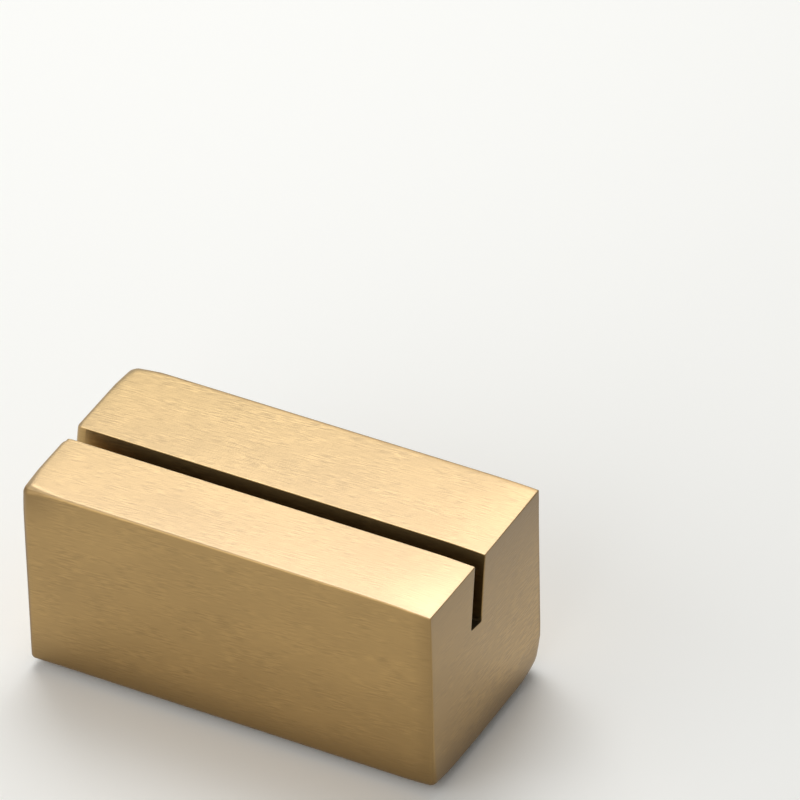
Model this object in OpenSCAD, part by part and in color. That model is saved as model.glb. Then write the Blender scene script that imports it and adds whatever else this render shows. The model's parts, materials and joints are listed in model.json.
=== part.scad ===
// Place card holder: a short brass bar with a card slot that leans back, standing on a felt pad.
// The bar lies along X, its front faces -Y, and z = 0 is the table under the pad.

/* [Block] */
// Length of the bar, along the card
block_length = 51; // [40:0.5:80]
// Width of the bar, from front to back
block_width = 25; // [20:0.5:40]
// Height of the bar, without the pad under it
block_height = 24.2; // [18:0.1:40]

/* [Card slot] */
// Width of the slot, square to its walls
slot_width = 2.3; // [1:0.1:4]
// Depth of the slot, measured down its leaning middle
slot_depth = 8.3; // [4:0.1:12]
// Lean of the slot towards the back, in degrees from upright
slot_lean = 8; // [0:0.5:15]
// Distance from the front face to the middle of the slot's mouth
slot_setback = 11.2; // [8:0.1:12]
// Radius of the two corners along the slot's floor
slot_floor_radius = 0.3; // [0.1:0.05:0.45]

/* [Hand-finished edges] */
// Radius of the two upright edges at the left end
left_upright_radius = 1.1; // [0.2:0.1:3]
// Radius of the edge between the left end and the top
left_top_radius = 1; // [0.2:0.1:3]
// Radius of the two upright edges at the right end
right_upright_radius = 0.3; // [0.2:0.1:3]
// Radius of the edge between the right end and the top
right_top_radius = 0.2; // [0.2:0.1:3]
// Radius of the edges between both ends and the underside
end_bottom_radius = 0.5; // [0.2:0.1:2]
// Radius of the long edge between the front and the top
front_top_radius = 0.5; // [0.2:0.1:3]
// Radius of the long edge between the back and the top
rear_top_radius = 0.4; // [0.2:0.1:3]
// Radius of the long edge between the front and the underside
front_bottom_radius = 0.8; // [0.2:0.1:2]
// Radius of the long edge between the back and the underside
rear_bottom_radius = 1.8; // [0.2:0.1:2]

/* [Felt pad] */
// Thickness of the felt
pad_thickness = 0.9; // [0.5:0.1:3]
// Distance from the bar's sides to the pad's edge, all round
pad_inset = 2.5; // [2:0.1:6]
// Radius of the pad's corners
pad_corner_radius = 2; // [0.5:0.1:6]
// Thickness of the adhesive film between felt and bar
film_thickness = 0.1; // [0.05:0.05:0.4]

/* [Hidden] */
$fn = 64;

// How far a cutting shape runs past the face that it cuts
overrun = 2;

// Levels, from the table up
film_bottom = pad_thickness;
block_bottom = film_bottom + film_thickness;
block_top = block_bottom + block_height;
block_middle = (block_bottom + block_top) / 2;

// The slot's mouth, as a distance from the bar's middle
slot_mouth_y = slot_setback - block_width / 2;

// The pad's outline, which the film shares
pad_size = [block_length - 2 * pad_inset, block_width - 2 * pad_inset];

// A rectangle about the origin with a radius of its own at each corner,
// counted anticlockwise from the corner at the lower left
module rounded_rectangle(size, radii) {
    x = size[0] / 2;
    y = size[1] / 2;
    polygon([
        [-x + radii[0], -y], [x - radii[1], -y],
        [x, -y + radii[1]], [x, y - radii[2]],
        [x - radii[2], y], [-x + radii[3], y],
        [-x, y - radii[3]], [-x, -y + radii[0]],
    ]);
    translate([-x + radii[0], -y + radii[0]]) circle(r = radii[0]);
    translate([x - radii[1], -y + radii[1]]) circle(r = radii[1]);
    translate([x - radii[2], y - radii[2]]) circle(r = radii[2]);
    translate([-x + radii[3], y - radii[3]]) circle(r = radii[3]);
}

// The bar seen from the front, run from front to back
module front_outline() {
    translate([0, 0, block_middle])
        rotate([90, 0, 0])
            linear_extrude(block_width + 2 * overrun, center = true)
                rounded_rectangle(
                    [block_length, block_height],
                    [end_bottom_radius, end_bottom_radius, right_top_radius, left_top_radius]
                );
}

// The bar seen from its right end, run from end to end
module end_outline() {
    translate([0, 0, block_middle])
        rotate([90, 0, 90])
            linear_extrude(block_length + 2 * overrun, center = true)
                rounded_rectangle(
                    [block_width, block_height],
                    [front_bottom_radius, rear_bottom_radius, rear_top_radius, front_top_radius]
                );
}

// The bar seen from above, run from below its underside to above its top
module top_outline() {
    translate([0, 0, block_bottom - overrun])
        linear_extrude(block_height + 2 * overrun)
            rounded_rectangle(
                [block_length, block_width],
                [left_upright_radius, right_upright_radius, right_upright_radius, left_upright_radius]
            );
}

// The saw cut for the card, square across its floor and open at its mouth and both ends
module card_slot() {
    floor_corner = slot_floor_radius;
    wall_length = slot_depth + overrun;
    translate([0, slot_mouth_y, block_top])
        rotate([-slot_lean, 0, 0])
            translate([0, 0, wall_length / 2 - slot_depth])
                rotate([90, 0, 90])
                    linear_extrude(block_length + 2 * overrun, center = true)
                        rounded_rectangle(
                            [slot_width, wall_length],
                            [floor_corner, floor_corner, floor_corner, floor_corner]
                        );
}

module holder_block() {
    color([0.84, 0.68, 0.38])
        difference() {
            intersection() {
                front_outline();
                end_outline();
                top_outline();
            }
            card_slot();
        }
}

// A flat sheet with the pad's outline
module pad_sheet(bottom, thickness) {
    corner = pad_corner_radius;
    translate([0, 0, bottom])
        linear_extrude(thickness)
            rounded_rectangle(pad_size, [corner, corner, corner, corner]);
}

module adhesive_film() {
    color([0.86, 0.83, 0.74])
        pad_sheet(film_bottom, film_thickness);
}

module felt_pad() {
    color([0.1, 0.09, 0.09])
        pad_sheet(0, pad_thickness);
}

holder_block();
adhesive_film();
felt_pad();
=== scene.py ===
"""The looks of a place card holder: a hand-brushed brass bar with a leaning card slot, on a felt pad."""

import itertools
import json
import math

import bpy
from mathutils import Matrix, Vector


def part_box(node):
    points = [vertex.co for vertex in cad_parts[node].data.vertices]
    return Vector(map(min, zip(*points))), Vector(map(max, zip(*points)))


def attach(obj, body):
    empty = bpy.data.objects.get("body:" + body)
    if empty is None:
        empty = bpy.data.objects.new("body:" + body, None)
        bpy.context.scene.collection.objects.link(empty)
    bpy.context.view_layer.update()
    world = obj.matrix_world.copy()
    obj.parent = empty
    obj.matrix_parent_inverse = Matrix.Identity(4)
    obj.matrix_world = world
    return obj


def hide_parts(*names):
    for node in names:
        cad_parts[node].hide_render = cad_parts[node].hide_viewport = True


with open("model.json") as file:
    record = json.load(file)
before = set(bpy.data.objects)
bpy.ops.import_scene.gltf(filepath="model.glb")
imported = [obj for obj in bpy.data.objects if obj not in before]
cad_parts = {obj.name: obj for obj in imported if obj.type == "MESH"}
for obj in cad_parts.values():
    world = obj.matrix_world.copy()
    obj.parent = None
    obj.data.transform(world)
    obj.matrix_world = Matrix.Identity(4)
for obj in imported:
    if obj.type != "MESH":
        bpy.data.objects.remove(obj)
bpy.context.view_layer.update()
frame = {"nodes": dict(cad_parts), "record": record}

# Sizes are in millimetres, unless a comment says metres, and meshes are made in metres
MM = 0.001

# The bar, and where its slot lies and leans, from the frame
LEFT, FRONT, BOTTOM = (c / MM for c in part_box("holder_block")[0])
RIGHT, BACK, TOP = (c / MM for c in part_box("holder_block")[1])
LIMITS = ((LEFT, RIGHT), (FRONT, BACK), (BOTTOM, TOP))
slot_mount = {m["name"]: m for m in frame["record"]["mounts"]}["card_slot"]
SLOT_MOUTH_Y = slot_mount["pos_m"][1] / MM
SLOT_LEAN = math.atan2(slot_mount["axis"][1], slot_mount["axis"][2])
# The slot's width and depth, as in the part's source
SLOT_WIDTH = 2.3
SLOT_DEPTH = 8.3
# The saw wandered: how far the slot lies back, and how far its floor lies up, at the left and right ends
SLOT_DRIFT = (-0.18, -0.06)
SLOT_FLOOR_RISE = (0.2, -0.2)
SLOT_FLOOR_RADIUS = 0.3
SLOT_LIP_RADIUS = 0.06
# Radius of the edges where the slot comes out at each end
SLOT_END_RADII = {"left": 0.9, "right": 0.08}

# Before the slot is leaned its walls stand upright, as far apart as its mouth is wide
NEAR_WALL = SLOT_MOUTH_Y - SLOT_WIDTH / math.cos(SLOT_LEAN) / 2
FAR_WALL = SLOT_MOUTH_Y + SLOT_WIDTH / math.cos(SLOT_LEAN) / 2
SLOT_FLOOR = TOP - SLOT_DEPTH * math.cos(SLOT_LEAN)

# Each outer face of the bar: its axis, where it lies and which way is inside
FACES = {
    "left": (0, LEFT, 1),
    "right": (0, RIGHT, -1),
    "front": (1, FRONT, 1),
    "back": (1, BACK, -1),
    "bottom": (2, BOTTOM, 1),
    "top": (2, TOP, -1),
}
SIDES = (("left", "right"), ("front", "back"), ("bottom", "top"))

# The hand-finished edges: two faces, then the radius at the edge's low end and at its high end
EDGES = (
    ("left", "front", 0.6, 1.0),
    ("left", "back", 1.2, 1.3),
    ("right", "front", 0.25, 0.2),
    ("right", "back", 0.3, 0.25),
    ("left", "bottom", 0.5, 0.5),
    ("right", "bottom", 0.5, 0.5),
    ("left", "top", 0.5, 0.6),
    ("right", "top", 0.08, 0.08),
    ("front", "bottom", 0.7, 0.7),
    ("back", "bottom", 1.5, 1.7),
    ("front", "top", 0.35, 0.15),
    ("back", "top", 0.45, 0.2),
)
# Between edges their radii blend over about this distance, and the nearest edge counts for most
EDGE_BLEND = 0.5
EDGE_BLEND_POWER = 3

# The radius that the three edges at each corner take as they near it
CORNERS = (
    ("left", "front", "bottom", 0.6),
    ("left", "front", "top", 1.05),
    ("left", "back", "bottom", 1.1),
    ("left", "back", "top", 1.25),
    ("right", "front", "bottom", 0.9),
    ("right", "front", "top", 0.12),
    ("right", "back", "bottom", 1.7),
    ("right", "back", "top", 0.14),
)
# How far along an edge its corner's radius reaches
CORNER_REACH = 4.5

# Faces that roll off a little by an edge: the face, the edge's other face, how far in and how deep
ROLL_OFFS = (
    ("front", "right", 3, 0.1),
    ("front", "top", 0.8, 0.03),
    ("left", "top", 4, 0.18),
    ("right", "front", 12, 0.25),
    ("top", "left", 2.5, 0.05),
    ("top", "right", 6, 0.2),
)
# Inside the face the roll-off fades out over this distance
ROLL_FADE = 4

# The top dips at its front right corner, and below the top the dip soon fades out
CORNER_DIP = 0.22
CORNER_DIP_REACH = 9
CORNER_DIP_FADE_POWER = 6
# The front foot of the left end is a little out of square
FOOT_DRIFT = 0.19

# Grid lines crowd together by an edge, each gap this many times the one before it
FIRST_GAP = 0.05
GAP_GROWTH = 1.32
CROWDED_LINES = 11
# The crowd by one end takes no more than this share of the way, and the lines between are this far apart
CROWD_SHARE = 0.45
OPEN_GAP = 1.6

# Handling has dulled the metal about this near an edge, and wholly where the edge has this radius or more
EDGE_WEAR_REACH = 0.5
WORN_RADIUS = 0.6
# Painted shade darkens the edges other than these, and the foot
UNSHADED_EDGES = (("front", "top"), ("left", "top"), ("right", "top"), ("right", "front"))
EDGE_SHADE = 1
EDGE_SHADE_REACH = 0.45
# Painted shade darkens the foot, up to this height
FOOT_SHADE = 1
FOOT_SHADE_REACH = 4.4
# Painted shade makes the front a little darker at its left end than at its right
FRONT_SHADE = (0.18, 0)
# The front is darkest in its top left corner, and painted shade darkens it by its right edge too
FRONT_CORNER_DARKENING = 0.9
FRONT_CORNER_DARKENING_REACH = 7
FRONT_EDGE_SHADE = 0.5
FRONT_EDGE_SHADE_REACH = 2.6
# Painted shade darkens the right end towards its top, and at its front only this share as much as at its
# back
END_SHADE = 1.1
END_SHADE_FRONT_SHARE = 0.5
# A painted highlight makes the top paler towards its front right corner
TOP_HIGHLIGHT_SHARE = 0.6

# Painted shade darkens the slot, which is also rougher and bare of lacquer there: its floor wholly, its
# walls less, and least from a little way below the lip
SLOT_SHADE_LIP = 0.65
SLOT_SHADE_DEEP = 0.1
SLOT_SHADE_DEEP_AT = 2
# The floor's painted shade reaches this far up the walls
SLOT_SHADE_FLOOR_REACH = 0.8
# How soon the walls turn dark below the mouth, and where the slot's bright left end stops and how sharply
SLOT_SHADE_DEPTH = 0.1
SLOT_SHADE_END_GAP = 1.35
SLOT_SHADE_END_FADE = 0.12
# Next to the bright end this much of the painted shade is there at first, and all of it this much further
# on
SLOT_SHADE_START = 0.75
SLOT_SHADE_RAMP = 3

# The brushing on each face is turned this many degrees from the bar's own edges
BRUSH_TURN = {"left": -4, "right": 0, "front": 4.5, "back": -3, "bottom": 5, "top": 5}
# How strongly a face is brushed, where that isn't even: at its low end and at its high end
STROKES = {"top": (1, 1.3), "front": (1.2, 0.7), "right": (0.3, 5)}
EVEN_STROKES = (1, 1)
# The faces' texture maps lie this far apart, so that no two are brushed alike
FACE_SHIFT = 90


def mix(low, high, part):
    """The value that lies this part of the way from low to high."""
    return low + (high - low) * part


def clamp(value):
    """A value kept from 0 to 1."""
    return min(1, max(0, value))


def ease(part):
    """The same part of the way, but with a gentle start and end."""
    return part * part * (3 - 2 * part)


def share(place, axis):
    """How far along an axis of the bar a place lies, from 0 to 1."""
    low, high = LIMITS[axis]
    return (place[axis] - low) / (high - low)


def inset(place, name):
    """How far inside one of the bar's faces a place lies."""
    axis, face, inward = FACES[name]
    return (place[axis] - face) * inward


def round_corner(a, b, radius):
    """Moves a point that lies a and b inside two faces, so that their square edge becomes an arc."""
    u = radius - a
    v = radius - b
    if min(u, v) <= 0:
        return a, b
    reach = max(u, v)
    turn = math.pi / 4 * min(u, v) / reach
    along, aside = reach * math.cos(turn), reach * math.sin(turn)
    u, v = (along, aside) if u >= v else (aside, along)
    return radius - u, radius - v


def edge_radius(place):
    """The radius of the edge nearest to a place, which tapers along it and turns into its corner's."""
    total, weights = 0, 0
    for one, other, radius_low, radius_high in EDGES:
        away = max(inset(place, one), inset(place, other))
        weight = (away + EDGE_BLEND) ** -EDGE_BLEND_POWER
        (along,) = {0, 1, 2} - {FACES[one][0], FACES[other][0]}
        total += weight * mix(radius_low, radius_high, share(place, along))
        weights += weight
    radius = total / weights
    for *names, corner_radius in CORNERS:
        away = max(inset(place, name) for name in names)
        radius = mix(radius, corner_radius, ease(clamp(1 - away / CORNER_REACH)))
    return radius


def round_outer_edges(place):
    """Moves a place of the square bar so that its edges become arcs and its corners parts of a ball."""
    radius = edge_radius(place)
    core = [min(max(c, low + radius), high - radius) for c, (low, high) in zip(place, LIMITS)]
    offset = [c - k for c, k in zip(place, core)]
    reach = max(abs(d) for d in offset)
    if reach > 0:
        spread = Vector([math.tan(math.pi / 4 * d / reach) for d in offset]).normalized()
        place[:] = [k + reach * s for k, s in zip(core, spread)]


def round_slot_edges(place):
    """Breaks the slot's lips and rounds the corners along its floor."""
    x, y, z = place
    if y <= NEAR_WALL:
        a, b = round_corner(NEAR_WALL - y, TOP - z, SLOT_LIP_RADIUS)
        y, z = NEAR_WALL - a, TOP - b
    elif y >= FAR_WALL:
        a, b = round_corner(y - FAR_WALL, TOP - z, SLOT_LIP_RADIUS)
        y, z = FAR_WALL + a, TOP - b
    if NEAR_WALL <= y <= FAR_WALL and z >= SLOT_FLOOR:
        a, b = round_corner(y - NEAR_WALL, z - SLOT_FLOOR, SLOT_FLOOR_RADIUS)
        y, z = NEAR_WALL + a, SLOT_FLOOR + b
        a, b = round_corner(FAR_WALL - y, z - SLOT_FLOOR, SLOT_FLOOR_RADIUS)
        y, z = FAR_WALL - a, SLOT_FLOOR + b
    place[:] = x, y, z


def round_slot_ends(place):
    """Eases the edges where the slot's walls and floor come out at the bar's two ends."""
    wall, outward = (NEAR_WALL, -1) if place[1] < SLOT_MOUTH_Y else (FAR_WALL, 1)
    for end, radius in SLOT_END_RADII.items():
        beside = (place[1] - wall) * outward
        below = SLOT_FLOOR - place[2]
        away = max(beside, below, 0)
        axis, face, inward = FACES[end]
        moved, depth = round_corner(away, inset(place, end), radius)
        if away > 0:
            beside *= moved / away if beside > 0 else 1
            below *= moved / away if below > 0 else 1
        else:
            beside += moved * max(0, 1 + beside / SLOT_FLOOR_RADIUS)
            below += moved * max(0, 1 + below / SLOT_FLOOR_RADIUS)
        place[axis] = face + depth * inward
        place[1] = wall + beside * outward
        place[2] = SLOT_FLOOR - below


def lean_slot(place):
    """Leans and skews the slot, and lets both fade out towards the front and the back."""
    y, z = place[1:]
    if y < NEAR_WALL:
        hold = (y - FRONT) / (NEAR_WALL - FRONT)
    elif y > FAR_WALL:
        hold = (BACK - y) / (BACK - FAR_WALL)
    else:
        hold = 1
    slope = math.tan(SLOT_LEAN)
    depth = TOP - max(z, SLOT_FLOOR)
    if z > SLOT_FLOOR:
        sunk = (TOP - z) / (TOP - SLOT_FLOOR)
    else:
        sunk = (z - BOTTOM) / (SLOT_FLOOR - BOTTOM)
    from_middle = min(max(y, NEAR_WALL), FAR_WALL) - SLOT_MOUTH_Y
    drift = mix(*SLOT_DRIFT, share(place, 0))
    rise = mix(*SLOT_FLOOR_RISE, share(place, 0))
    place[1] = y + hold * (drift - slope * depth)
    place[2] = z + (rise - slope * from_middle) * hold * sunk


def finish_by_hand(place):
    """Rolls faces off by some edges, dips one corner and draws one foot in."""
    for face, edge, width, depth in ROLL_OFFS:
        axis, _, inward = FACES[face]
        fade = max(0, 1 - inset(place, face) / ROLL_FADE)
        place[axis] += inward * depth * fade * max(0, 1 - inset(place, edge) / width) ** 2
    from_corner = math.hypot(inset(place, "right"), inset(place, "front"))
    dip = CORNER_DIP * max(0, 1 - from_corner / CORNER_DIP_REACH) ** 2
    place[2] -= dip * share(place, 2) ** CORNER_DIP_FADE_POWER
    place[0] += FOOT_DRIFT * (1 - share(place, 0)) * (1 - share(place, 1)) * (1 - share(place, 2))


# What is done to the square bar, in turn
SHAPING = (round_outer_edges, round_slot_edges, round_slot_ends, lean_slot, finish_by_hand)


def near_edges(place, edges, reach):
    """How near one of these edges a place of the square bar lies, from 1 on it to 0 beyond its reach."""
    away = min(max(inset(place, one), inset(place, other)) for one, other in edges)
    return math.exp(-((away / reach) ** 2))


def wear_at(place):
    """How dulled by handling the metal is at a place of the square bar."""
    worn = clamp(edge_radius(place) / WORN_RADIUS)
    return worn * near_edges(place, [edge[:2] for edge in EDGES], EDGE_WEAR_REACH)


def painted_shade_at(place):
    """How dark the metal is painted at a place of the square bar: painted shade, and the front's darker top
    left corner.
    """
    edges = [edge[:2] for edge in EDGES if edge[:2] not in UNSHADED_EDGES]
    # Painted shade along the edges, and round the foot
    by_edges = EDGE_SHADE * near_edges(place, edges, EDGE_SHADE_REACH)
    foot = FOOT_SHADE * clamp(1 - inset(place, "bottom") / FOOT_SHADE_REACH)
    face = 0
    # On the front: a darker top left corner, and painted shade by its right edge and towards its left end
    if place[1] == FRONT:
        from_corner = math.hypot(inset(place, "left"), inset(place, "top"))
        in_corner = FRONT_CORNER_DARKENING * clamp(1 - from_corner / FRONT_CORNER_DARKENING_REACH)
        by_edge = FRONT_EDGE_SHADE * clamp(1 - inset(place, "right") / FRONT_EDGE_SHADE_REACH)
        face = max(in_corner, by_edge, mix(*FRONT_SHADE, share(place, 0)))
    # Painted shade towards the top of the right end
    elif place[0] == RIGHT:
        face = END_SHADE * share(place, 2) ** 2 * mix(END_SHADE_FRONT_SHARE, 1, share(place, 1))
    return max(by_edges, mix(face, 1, foot))


def top_highlight_at(place):
    """How pale the top's painted highlight makes it at a place of the square bar."""
    return TOP_HIGHLIGHT_SHARE * (share(place, 0) + 1 - share(place, 1)) / 2 if place[2] == TOP else 0


def slot_shade_at(place):
    """How strongly painted shade darkens the slot at a place of the square bar: up to 1 inside the slot, 0
    on the outside.
    """
    if place[2] < SLOT_FLOOR or not NEAR_WALL <= place[1] <= FAR_WALL:
        return 0
    from_end = inset(place, "left") - SLOT_SHADE_END_GAP
    depth = inset(place, "top")
    along = clamp(from_end / SLOT_SHADE_END_FADE) * mix(SLOT_SHADE_START, 1, clamp(from_end / SLOT_SHADE_RAMP))
    down = clamp(depth / SLOT_SHADE_DEPTH)
    wall = mix(SLOT_SHADE_LIP, SLOT_SHADE_DEEP, clamp(depth / SLOT_SHADE_DEEP_AT))
    above_floor = clamp((place[2] - SLOT_FLOOR) / SLOT_SHADE_FLOOR_REACH)
    return along * down * mix(1, wall, above_floor)


# What the mesh says of the metal at each of its points: its wear, its painted shade, the top's painted
# highlight and the slot's painted shade
METAL_STATE = {"wear": wear_at, "painted_shade": painted_shade_at, "top_highlight": top_highlight_at, "slot_shade": slot_shade_at}


def grid_lines(low, high):
    """Places along one axis, crowded by both ends and evenly spread between."""
    crowd = [FIRST_GAP * (GAP_GROWTH**n - 1) / (GAP_GROWTH - 1) for n in range(CROWDED_LINES)]
    crowd = [d for d in crowd if d < CROWD_SHARE * (high - low)]
    first = low + crowd[-1]
    last = high - crowd[-1]
    count = math.ceil((last - first) / OPEN_GAP)
    spread = [mix(first, last, n / count) for n in range(1, count)]
    return [low + d for d in crowd] + spread + [high - d for d in reversed(crowd)]


def bar_grid():
    """The grid lines along each axis, and which of them are the slot's near wall, far wall and floor."""
    # Grid lines where the slot's painted shade starts by its left end
    shade_start = LEFT + SLOT_SHADE_END_GAP
    xs = sorted(grid_lines(LEFT, RIGHT) + [shade_start, shade_start + SLOT_SHADE_END_FADE])
    ys = grid_lines(FRONT, NEAR_WALL)
    near = len(ys) - 1
    ys += grid_lines(NEAR_WALL, FAR_WALL)[1:]
    far = len(ys) - 1
    ys += grid_lines(FAR_WALL, BACK)[1:]
    zs = grid_lines(BOTTOM, SLOT_FLOOR)
    floor = len(zs) - 1
    zs += grid_lines(SLOT_FLOOR, TOP)[1:]
    return (xs, ys, zs), (near, far, floor)


def skin_quads(counts, solid):
    """Each face between a solid grid cell and an empty one: the grid points round it, its axis and side."""
    for cell in itertools.product(*(range(n) for n in counts)):
        if not solid(cell):
            continue
        for axis, side in itertools.product(range(3), (0, 1)):
            beyond = list(cell)
            beyond[axis] += 2 * side - 1
            if solid(beyond):
                continue
            ring = []
            for step_e, step_f in ((0, 0), (1, 0), (1, 1), (0, 1)):
                key = list(cell)
                key[axis] += side
                key[(axis + 1) % 3] += step_e
                key[(axis + 2) % 3] += step_f
                ring.append(tuple(key))
            yield ring, axis, side


def bar_skin():
    """The bar's closed skin: its places, the metal's state at each, its faces, and their axes and sides."""
    lines, (near, far, floor) = bar_grid()
    counts = [len(along) - 1 for along in lines]

    def solid(cell):
        inside = all(0 <= c < n for c, n in zip(cell, counts))
        in_slot = near <= cell[1] < far and cell[2] >= floor
        return inside and not in_slot

    places, state, faces, sides, index = [], [], [], [], {}
    for ring, axis, side in skin_quads(counts, solid):
        for key in ring:
            if key in index:
                continue
            index[key] = len(places)
            place = [along[n] for along, n in zip(lines, key)]
            state.append([state_at(place) for state_at in METAL_STATE.values()])
            for shape in SHAPING:
                shape(place)
            places.append(place)
        face = [index[key] for key in ring]
        faces.append(face if side else face[::-1])
        sides.append((axis, side))
    return places, state, faces, sides


def new_piece(name, mesh):
    """A mesh as a new object in the scene."""
    piece = bpy.data.objects.new(name, mesh)
    bpy.context.scene.collection.objects.link(piece)
    return piece


def make_bar():
    """The bar as a mesh, with its brushing direction as the U of its texture map, in millimetres."""
    places, state, faces, sides = bar_skin()
    mesh = bpy.data.meshes.new("brass_bar")
    mesh.from_pydata([[c * MM for c in p] for p in places], [], faces)
    mesh.shade_smooth()
    for name, values in zip(METAL_STATE, zip(*state)):
        mesh.attributes.new(name, "FLOAT", "POINT").data.foreach_set("value", values)
    strokes = [1] * len(mesh.loops)
    brushing = mesh.uv_layers.new(name="brushing")
    for polygon, (axis, side) in zip(mesh.polygons, sides):
        name = SIDES[axis][side]
        along = 0 if axis else 1
        across = 2 if axis < 2 else 1
        turn = math.radians(BRUSH_TURN[name])
        shift = FACE_SHIFT * (2 * axis + side)
        for loop in polygon.loop_indices:
            place = places[mesh.loops[loop].vertex_index]
            u = place[along] * math.cos(turn) + place[across] * math.sin(turn)
            v = place[across] * math.cos(turn) - place[along] * math.sin(turn)
            brushing.data[loop].uv = u, v + shift
            strokes[loop] = mix(*STROKES.get(name, EVEN_STROKES), share(place, along))
    mesh.attributes.new("strokes", "FLOAT", "CORNER").data.foreach_set("value", strokes)
    return new_piece("brass_bar", mesh)


# The felt pad, from the frame: its cut edge is a little frayed, and pressed round above and below
PAD_LOW = [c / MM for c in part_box("felt_pad")[0]]
PAD_HIGH = [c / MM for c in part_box("felt_pad")[1]]
PAD_CORNER_RADIUS = 2
PAD_EDGE_RADIUS = 0.25
PAD_POINT_GAP = 0.4
PAD_EDGE_STEPS = 4
# How far the edge frays, and how fast the fray turns: round the pad, from ring to ring, and slowly round it
PAD_FRAY = 0.05
FRAY_ROUND = 1.7
FRAY_UP = 2.3
FRAY_SLOW = 0.61


def pad_outline():
    """Points round the pad's cut edge with their outward directions, evenly spaced."""
    outline = []
    half_x = (PAD_HIGH[0] - PAD_LOW[0]) / 2 - PAD_CORNER_RADIUS
    half_y = (PAD_HIGH[1] - PAD_LOW[1]) / 2 - PAD_CORNER_RADIUS
    corners = ((half_x, -half_y), (half_x, half_y), (-half_x, half_y), (-half_x, -half_y))
    arc_steps = math.ceil(PAD_CORNER_RADIUS * math.pi / 2 / PAD_POINT_GAP)
    for number, (x, y) in enumerate(corners):
        for step in range(arc_steps + 1):
            angle = math.pi / 2 * (number - 1 + step / arc_steps)
            out = Vector((math.cos(angle), math.sin(angle)))
            outline.append((Vector((x, y)) + out * PAD_CORNER_RADIUS, out))
        run = 2 * (half_x if number % 2 else half_y)
        run_steps = math.ceil(run / PAD_POINT_GAP)
        last, out = outline[-1]
        ahead = Vector((-out[1], out[0]))
        outline += [(last + ahead * run * step / run_steps, out) for step in range(1, run_steps)]
    return outline


def pad_rings():
    """The rings up the pad's cut edge: how far each is drawn in, and its height."""
    low, high = PAD_LOW[2], PAD_HIGH[2]
    quarter = [math.pi / 2 * step / PAD_EDGE_STEPS for step in range(PAD_EDGE_STEPS + 1)]
    rounding = [(1 - math.sin(t), 1 - math.cos(t)) for t in quarter]
    rings = [(back * PAD_EDGE_RADIUS, low + up * PAD_EDGE_RADIUS) for back, up in rounding]
    rings += [(back * PAD_EDGE_RADIUS, high - down * PAD_EDGE_RADIUS) for back, down in reversed(rounding)]
    return rings


def make_felt():
    """The felt pad as one closed mesh: rings up its cut edge, and a flat face above and below."""
    outline = pad_outline()
    rings = pad_rings()
    points, faces = [], []
    count = len(outline)
    for number, (back, z) in enumerate(rings):
        for step, (spot, out) in enumerate(outline):
            waves = math.sin(FRAY_ROUND * step + FRAY_UP * number) + math.sin(FRAY_SLOW * step)
            place = spot - out * (back + PAD_FRAY + PAD_FRAY * waves / 2)
            points.append((place.x * MM, place.y * MM, z * MM))
    for number in range(len(rings) - 1):
        for step in range(count):
            following = (step + 1) % count
            one, other = number * count, (number + 1) * count
            faces.append((one + step, one + following, other + following, other + step))
    faces.append(tuple(reversed(range(count))))
    faces.append(tuple(range((len(rings) - 1) * count, len(rings) * count)))
    mesh = bpy.data.meshes.new("felt_sheet")
    mesh.from_pydata(points, [], faces)
    mesh.shade_smooth()
    mesh.polygons[-1].use_smooth = mesh.polygons[-2].use_smooth = False
    return new_piece("felt_sheet", mesh)


def add(tree, kind, inputs=(), **settings):
    """A new shader node with its settings, and each input either linked or set."""
    node = tree.nodes.new(kind)
    for name, value in settings.items():
        setattr(node, name, value)
    for name, value in dict(inputs).items():
        if isinstance(value, bpy.types.NodeSocket):
            tree.links.new(value, node.inputs[name])
        else:
            node.inputs[name].default_value = value
    return node


def new_material(name):
    """An empty material and its node tree."""
    material = bpy.data.materials.new(name)
    material.use_nodes = True
    material.node_tree.nodes.clear()
    return material, material.node_tree


def finish_material(tree, inputs):
    """The shader that all the materials end in."""
    shader = add(tree, "ShaderNodeBsdfPrincipled", inputs)
    add(tree, "ShaderNodeOutputMaterial", {"Surface": shader.outputs[0]})


# The middle of the noise, and the range that most of it lies in
NOISE_MIDDLE = 0.5
NOISE_RANGE = (0.3, 0.7)


def noise(tree, place, grain, detail=2, roughness=0.5):
    """Noise from 0 to 1 whose grain is this long, wide and deep, in the units of the place."""
    scaled = add(tree, "ShaderNodeMapping", {"Vector": place, "Scale": [1 / g for g in grain]})
    node = add(
        tree,
        "ShaderNodeTexNoise",
        {"Vector": scaled.outputs[0], "Scale": 1, "Detail": detail, "Roughness": roughness},
    )
    return node.outputs["Fac"]


def remap(tree, value, low, high, to_low=0.0, to_high=1.0):
    """A value moved from one range to another, and kept within it."""
    node = add(
        tree,
        "ShaderNodeMapRange",
        {"Value": value, "From Min": low, "From Max": high, "To Min": to_low, "To Max": to_high},
    )
    return node.outputs["Result"]


def calculate(tree, operation, one, other):
    """The result of an operation on two values."""
    return add(tree, "ShaderNodeMath", {0: one, 1: other}, operation=operation).outputs[0]


def blend_colours(tree, factor, one, other):
    """The colour that lies this part of the way from one to the other."""
    node = add(tree, "ShaderNodeMixRGB", {"Fac": factor, "Color1": one, "Color2": other})
    return node.outputs["Color"]


def bump(tree, height, strength, depth):
    """A surface direction that follows a height, whose full range is this deep in millimetres."""
    node = add(tree, "ShaderNodeBump", {"Strength": strength, "Distance": depth * MM, "Height": height})
    return node.outputs[0]


def attribute(tree, name):
    """A value that the mesh carries."""
    return add(tree, "ShaderNodeAttribute", attribute_name=name).outputs["Fac"]


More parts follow.
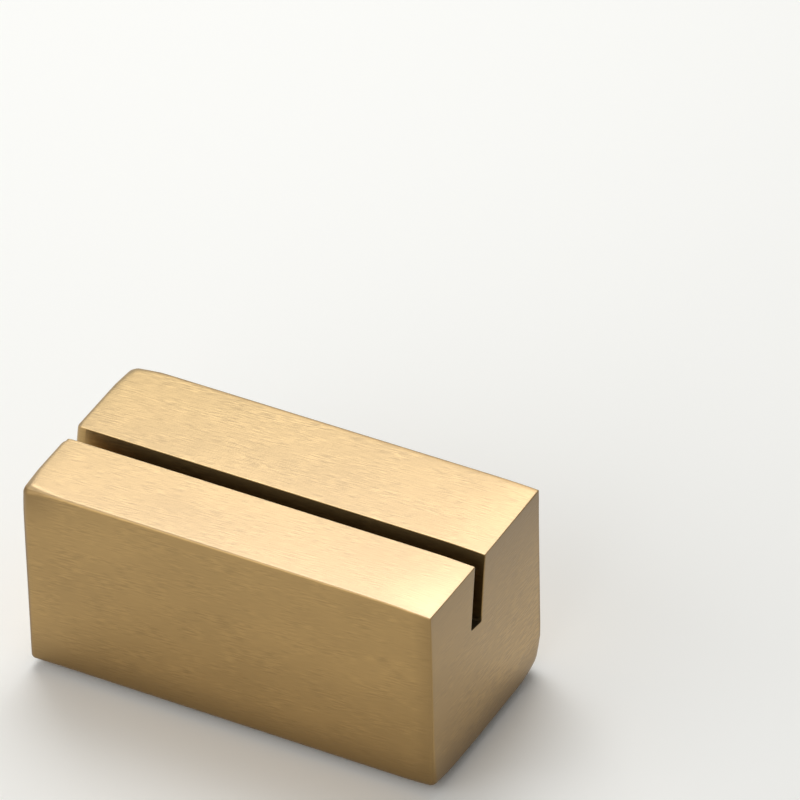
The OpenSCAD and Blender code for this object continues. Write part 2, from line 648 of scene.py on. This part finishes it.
# The brass: deep and pale strokes on the sides and on the top, which is painted paler and less yellow as a
# highlight, then where its state differs
SIDE_DEEP = (0.358, 0.231, 0.088, 1)
SIDE_PALE = (0.478, 0.308, 0.117, 1)
TOP_HIGHLIGHT_DEEP = (0.310, 0.218, 0.099, 1)
TOP_HIGHLIGHT_PALE = (0.456, 0.319, 0.145, 1)
# The palest colour of the top's painted highlight
TOP_HIGHLIGHT_PALEST = (0.380, 0.276, 0.185, 1)
# The colour of the painted shade outside the slot, which the front's top left corner also takes
BRASS_PAINTED_SHADE = (0.226, 0.141, 0.052, 1)
# The colour of the painted shade in the slot
BRASS_SLOT_SHADE = (0.034, 0.026, 0.014, 1)
# How far upward the metal faces where its colour starts to turn into the top's painted highlight, and where
# it has turned
TOP_HIGHLIGHT_FACING = (0.5, 0.95)
# Length, width and depth of the brush's strokes and hairs, of the patches they lie in, and of faint clouds
STROKE_GRAIN = (1.8, 0.2, 1)
HAIR_GRAIN = (1.1, 0.09, 1)
PATCH_GRAIN = (4, 2, 1)
CLOUD_GRAIN = (16, 9, 1)
# The share of the strokes in the brush's lines, and the hairs have the rest
STROKE_SHARE = 0.7
# The range of the noise over which a patch comes in, and how marked the lines are outside the patches
PATCH_RANGE = (0.4, 0.62)
PATCH_LEAST = 0.2
# How strongly the lines show in the colour, and the range of tones from deep to pale
STROKE_CONTRAST = 4
TONE_RANGE = (0.1, 0.9)
# Roughness of the metal in the lines, and what wear and the slot's darkening add to it
BRASS_ROUGHNESS = (0.28, 0.36)
WEAR_ROUGHNESS = 0.25
SLOT_ROUGHNESS = 0.2
# How strongly and how deep the lines are cut
BRUSH_BUMP = 0.5
BRUSH_DEPTH = 0.02
# How far the cut metal smears its reflections, and the part of a full turn that lays that across the lines
BRUSH_SMEAR = 0.3
SMEAR_TURN = 0.25
# The lacquer, which is left off where the slot is darkened
LACQUER = 0.35
LACQUER_ROUGHNESS = 0.3


def brush_marks(tree, brushing):
    """The brush's lines, and the same lines about zero, stronger in some patches and on some faces."""
    strokes = noise(tree, brushing, STROKE_GRAIN)
    hairs = noise(tree, brushing, HAIR_GRAIN)
    patches = remap(tree, noise(tree, brushing, PATCH_GRAIN), *PATCH_RANGE, PATCH_LEAST, 1)
    coarse = calculate(tree, "MULTIPLY", strokes, STROKE_SHARE)
    fine = calculate(tree, "MULTIPLY", hairs, 1 - STROKE_SHARE)
    lines = calculate(tree, "ADD", coarse, fine)
    marked = calculate(tree, "MULTIPLY", calculate(tree, "SUBTRACT", lines, NOISE_MIDDLE), patches)
    return lines, calculate(tree, "MULTIPLY", marked, attribute(tree, "strokes"))


def brass_colour(tree, brushing, marked, slot_shade):
    """The metal's colour: strokes and clouds, then the top's painted highlight, the painted shade and the
    slot's painted shade.
    """
    clouds = noise(tree, brushing, CLOUD_GRAIN, detail=3)
    tone = calculate(tree, "ADD", calculate(tree, "MULTIPLY", marked, STROKE_CONTRAST), clouds)
    tone = remap(tree, tone, *TONE_RANGE)
    normal = add(tree, "ShaderNodeNewGeometry").outputs["Normal"]
    upward = add(tree, "ShaderNodeSeparateXYZ", {"Vector": normal}).outputs["Z"]
    side = blend_colours(tree, tone, SIDE_DEEP, SIDE_PALE)
    # The top's colour is a painted highlight, paler and less yellow than the sides'
    top = blend_colours(tree, tone, TOP_HIGHLIGHT_DEEP, TOP_HIGHLIGHT_PALE)
    # The painted highlight is palest towards the top's front right corner
    top = blend_colours(tree, attribute(tree, "top_highlight"), top, TOP_HIGHLIGHT_PALEST)
    # Where the metal faces upward it takes the top's painted highlight
    colour = blend_colours(tree, remap(tree, upward, *TOP_HIGHLIGHT_FACING), side, top)
    # Painted shade darkens the edges, the foot, the front and the right end
    colour = blend_colours(tree, attribute(tree, "painted_shade"), colour, BRASS_PAINTED_SHADE)
    # Painted shade darkens the slot
    return blend_colours(tree, slot_shade, colour, BRASS_SLOT_SHADE)


def brushed_brass():
    """Brass brushed in short overlapping strokes and lightly lacquered, painted paler on top as a
    highlight, with painted shade at its edges, foot and slot.
    """
    material, tree = new_material("brushed_brass")
    brushing = add(tree, "ShaderNodeUVMap", uv_map="brushing").outputs[0]
    tangent = add(tree, "ShaderNodeTangent", direction_type="UV_MAP", uv_map="brushing").outputs[0]
    # How strongly painted shade darkens the slot, which is also rougher and bare of lacquer there
    slot_shade = attribute(tree, "slot_shade")
    lines, marked = brush_marks(tree, brushing)
    worn = calculate(tree, "MULTIPLY", attribute(tree, "wear"), WEAR_ROUGHNESS)
    slot_rough = calculate(tree, "MULTIPLY", slot_shade, SLOT_ROUGHNESS)
    roughness = remap(tree, lines, *NOISE_RANGE, *BRASS_ROUGHNESS)
    roughness = calculate(tree, "ADD", calculate(tree, "ADD", roughness, worn), slot_rough)
    finish_material(
        tree,
        {
            "Base Color": brass_colour(tree, brushing, marked, slot_shade),
            "Metallic": 1,
            "Roughness": roughness,
            "Normal": bump(tree, calculate(tree, "ADD", lines, marked), BRUSH_BUMP, BRUSH_DEPTH),
            "Tangent": tangent,
            "Anisotropic": BRUSH_SMEAR,
            "Anisotropic Rotation": SMEAR_TURN,
            "Coat Weight": remap(tree, slot_shade, 0, 1, LACQUER, 0),
            "Coat Roughness": LACQUER_ROUGHNESS,
        },
    )
    return material


# The felt: matted fibres from deep to pale, and paler stray hairs both ways, with their grain in metres
FELT_DEEP = (0.006, 0.0055, 0.0055, 1)
FELT_PALE = (0.022, 0.020, 0.020, 1)
FELT_HAIR = (0.06, 0.056, 0.054, 1)
FELT_GRAIN = (0.0006, 0.0006, 0.0006)
FELT_HAIR_GRAIN = (0.0025, 0.0002, 0.0004)
FELT_CROSS_HAIR_GRAIN = (0.0002, 0.0025, 0.0004)
# The range of the noise over which a hair comes in, how much of its colour shows and how far it stands up
FELT_HAIR_RANGE = (0.6, 0.72)
FELT_HAIR_SHOWN = 0.5
FELT_HAIR_HEIGHT = 0.4
# Roughness of the fibres, how strongly and how deep they are matted, and the nap's soft sheen
FELT_ROUGHNESS = (0.85, 1.0)
FELT_BUMP = 0.8
FELT_DEPTH = 0.2
FELT_SHEEN = 0.3
FELT_SHEEN_ROUGHNESS = 0.5


def pressed_felt():
    """Dark grey wool felt: matted fibres, pale stray hairs and a soft nap."""
    material, tree = new_material("pressed_felt")
    place = add(tree, "ShaderNodeTexCoord").outputs["Object"]
    mat = noise(tree, place, FELT_GRAIN, detail=6, roughness=0.7)
    hairs = noise(tree, place, FELT_HAIR_GRAIN, detail=3)
    cross_hairs = noise(tree, place, FELT_CROSS_HAIR_GRAIN, detail=3)
    hairs = remap(tree, hairs, *FELT_HAIR_RANGE)
    cross_hairs = remap(tree, cross_hairs, *FELT_HAIR_RANGE)
    stray = calculate(tree, "MAXIMUM", hairs, cross_hairs)
    colour = blend_colours(tree, mat, FELT_DEEP, FELT_PALE)
    colour = blend_colours(tree, calculate(tree, "MULTIPLY", stray, FELT_HAIR_SHOWN), colour, FELT_HAIR)
    height = calculate(tree, "ADD", mat, calculate(tree, "MULTIPLY", stray, FELT_HAIR_HEIGHT))
    finish_material(
        tree,
        {
            "Base Color": colour,
            "Roughness": remap(tree, mat, *NOISE_RANGE, *FELT_ROUGHNESS),
            "Normal": bump(tree, height, FELT_BUMP, FELT_DEPTH),
            "Sheen Weight": FELT_SHEEN,
            "Sheen Roughness": FELT_SHEEN_ROUGHNESS,
        },
    )
    return material


# The film: cream, a little cloudy, with small bubbles, and the clouds' grain in metres
FILM_DEEP = (0.60, 0.55, 0.42, 1)
FILM_PALE = (0.72, 0.68, 0.56, 1)
FILM_BUBBLE = (0.85, 0.83, 0.76, 1)
FILM_GRAIN = (0.006, 0.006, 0.006)
FILM_ROUGHNESS = (0.3, 0.45)
BUBBLES_PER_METRE = 700
# How far from its middle a bubble starts to fade and where it ends, and how much of its colour shows
BUBBLE_RANGE = (0.1, 0.25)
BUBBLE_SHOWN = 0.3
# How strongly and how deep the bubbles stand out
FILM_BUMP = 0.3
FILM_DEPTH = 0.03


def adhesive_film():
    """The pad's pressure-sensitive film: cream, slightly glossy, with small trapped bubbles."""
    material, tree = new_material("adhesive_film")
    place = add(tree, "ShaderNodeTexCoord").outputs["Object"]
    cloud = noise(tree, place, FILM_GRAIN, detail=4)
    spots = add(tree, "ShaderNodeTexVoronoi", {"Vector": place, "Scale": BUBBLES_PER_METRE})
    bubbles = remap(tree, spots.outputs["Distance"], *BUBBLE_RANGE, 1, 0)
    colour = blend_colours(tree, cloud, FILM_DEEP, FILM_PALE)
    colour = blend_colours(tree, calculate(tree, "MULTIPLY", bubbles, BUBBLE_SHOWN), colour, FILM_BUBBLE)
    finish_material(
        tree,
        {
            "Base Color": colour,
            "Roughness": remap(tree, cloud, *NOISE_RANGE, *FILM_ROUGHNESS),
            "Normal": bump(tree, bubbles, FILM_BUMP, FILM_DEPTH),
        },
    )
    return material


# The camera: where it stands round the front, above the table, and how far it is tipped
VIEW_AZIMUTH = math.radians(28.946)
VIEW_ELEVATION = math.radians(37.618)
VIEW_ROLL = math.radians(-1.486)
# How far it stands from the point that it looks at
VIEW_DISTANCE = 1018.38
VIEW_AIM = Vector((3.405, 21.635, 23.429))
# The frame's width and the focal length in pixels, the sensor's width, and the nearest that it sees
FRAME_PIXELS = 800
FOCAL_PIXELS = 9212.7
SENSOR = 36
NEAREST_SEEN = 10


def make_camera():
    """The scene's camera, far off with a long lens."""
    level = math.cos(VIEW_ELEVATION)
    back = Vector(
        (math.sin(VIEW_AZIMUTH) * level, -math.cos(VIEW_AZIMUTH) * level, math.sin(VIEW_ELEVATION))
    )
    right = Vector((0, 0, 1)).cross(back).normalized()
    up = back.cross(right)
    turn = Matrix((right, up, back)).transposed() @ Matrix.Rotation(VIEW_ROLL, 3, "Z")
    camera = bpy.data.objects.new("camera", bpy.data.cameras.new("camera"))
    camera.data.sensor_width = SENSOR
    camera.data.lens = FOCAL_PIXELS / FRAME_PIXELS * SENSOR
    camera.data.clip_start = NEAREST_SEEN * MM
    camera.matrix_world = Matrix.Translation((VIEW_AIM + back * VIEW_DISTANCE) * MM) @ turn.to_4x4()
    bpy.context.scene.collection.objects.link(camera)
    bpy.context.scene.camera = camera


# The floor: half its width, its colour and its roughness
FLOOR_HALF = 2000
FLOOR_COLOUR = (0.95, 0.95, 0.92, 1)
FLOOR_ROUGHNESS = 0.9


def make_floor():
    """A wide, dull, pale floor at the height that the pad rests at."""
    material, tree = new_material("pale_floor")
    finish_material(tree, {"Base Color": FLOOR_COLOUR, "Roughness": FLOOR_ROUGHNESS})
    half = FLOOR_HALF * MM
    corners = [(-half, -half, 0), (half, -half, 0), (half, half, 0), (-half, half, 0)]
    mesh = bpy.data.meshes.new("floor")
    mesh.from_pydata(corners, [], [(0, 1, 2, 3)])
    mesh.materials.append(material)
    new_piece("floor", mesh)


# The lamps: name, place, aim point, width and height in millimetres, and brightness
LAMPS = (
    ("key", (-97, 175, 371), (0, 0, 25), (260, 260), 4.54),
    ("front", (-250, -620, 330), (0, 0, 0), (1000, 800), 1.23),
)
# How bright the white room looks in view and in the metal, and how strongly it lights what is in it
ROOM_SEEN = 0.84
ROOM_LIGHT = 0.32
WHITE = (1, 1, 1, 1)


def softbox(name, place, aim, size, radiance):
    """A white rectangular lamp of even brightness that faces its aim point."""
    lamp = bpy.data.lights.new(name, "AREA")
    lamp.shape = "RECTANGLE"
    lamp.size, lamp.size_y = (s * MM for s in size)
    lamp.energy = radiance * math.pi * lamp.size * lamp.size_y
    holder = bpy.data.objects.new(name, lamp)
    holder.location = Vector(place) * MM
    holder.rotation_euler = (Vector(aim) - Vector(place)).to_track_quat("-Z", "Y").to_euler()
    holder.visible_camera = False
    bpy.context.scene.collection.objects.link(holder)


def make_light():
    """The lamps, and an even light from all round a white room."""
    for lamp in LAMPS:
        softbox(*lamp)
    world = bpy.data.worlds.new("room")
    world.use_nodes = True
    tree = world.node_tree
    ray = add(tree, "ShaderNodeLightPath").outputs
    mirrored = calculate(tree, "ADD", ray["Is Glossy Ray"], ray["Is Transmission Ray"])
    seen = calculate(tree, "ADD", ray["Is Camera Ray"], mirrored)
    background = tree.nodes["Background"].inputs
    background["Color"].default_value = WHITE
    tree.links.new(remap(tree, seen, 0, 1, ROOM_LIGHT, ROOM_SEEN), background["Strength"])
    bpy.context.scene.world = world


make_camera()
make_floor()
make_light()

bar = make_bar()
bar.data.materials.append(brushed_brass())
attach(bar, "root")
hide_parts("holder_block")

felt = make_felt()
felt.data.materials.append(pressed_felt())
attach(felt, "root")
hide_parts("felt_pad")

film = frame["nodes"]["adhesive_film"]
film.data.materials.clear()
film.data.materials.append(adhesive_film())

bpy.context.scene.view_settings.view_transform = "Standard"
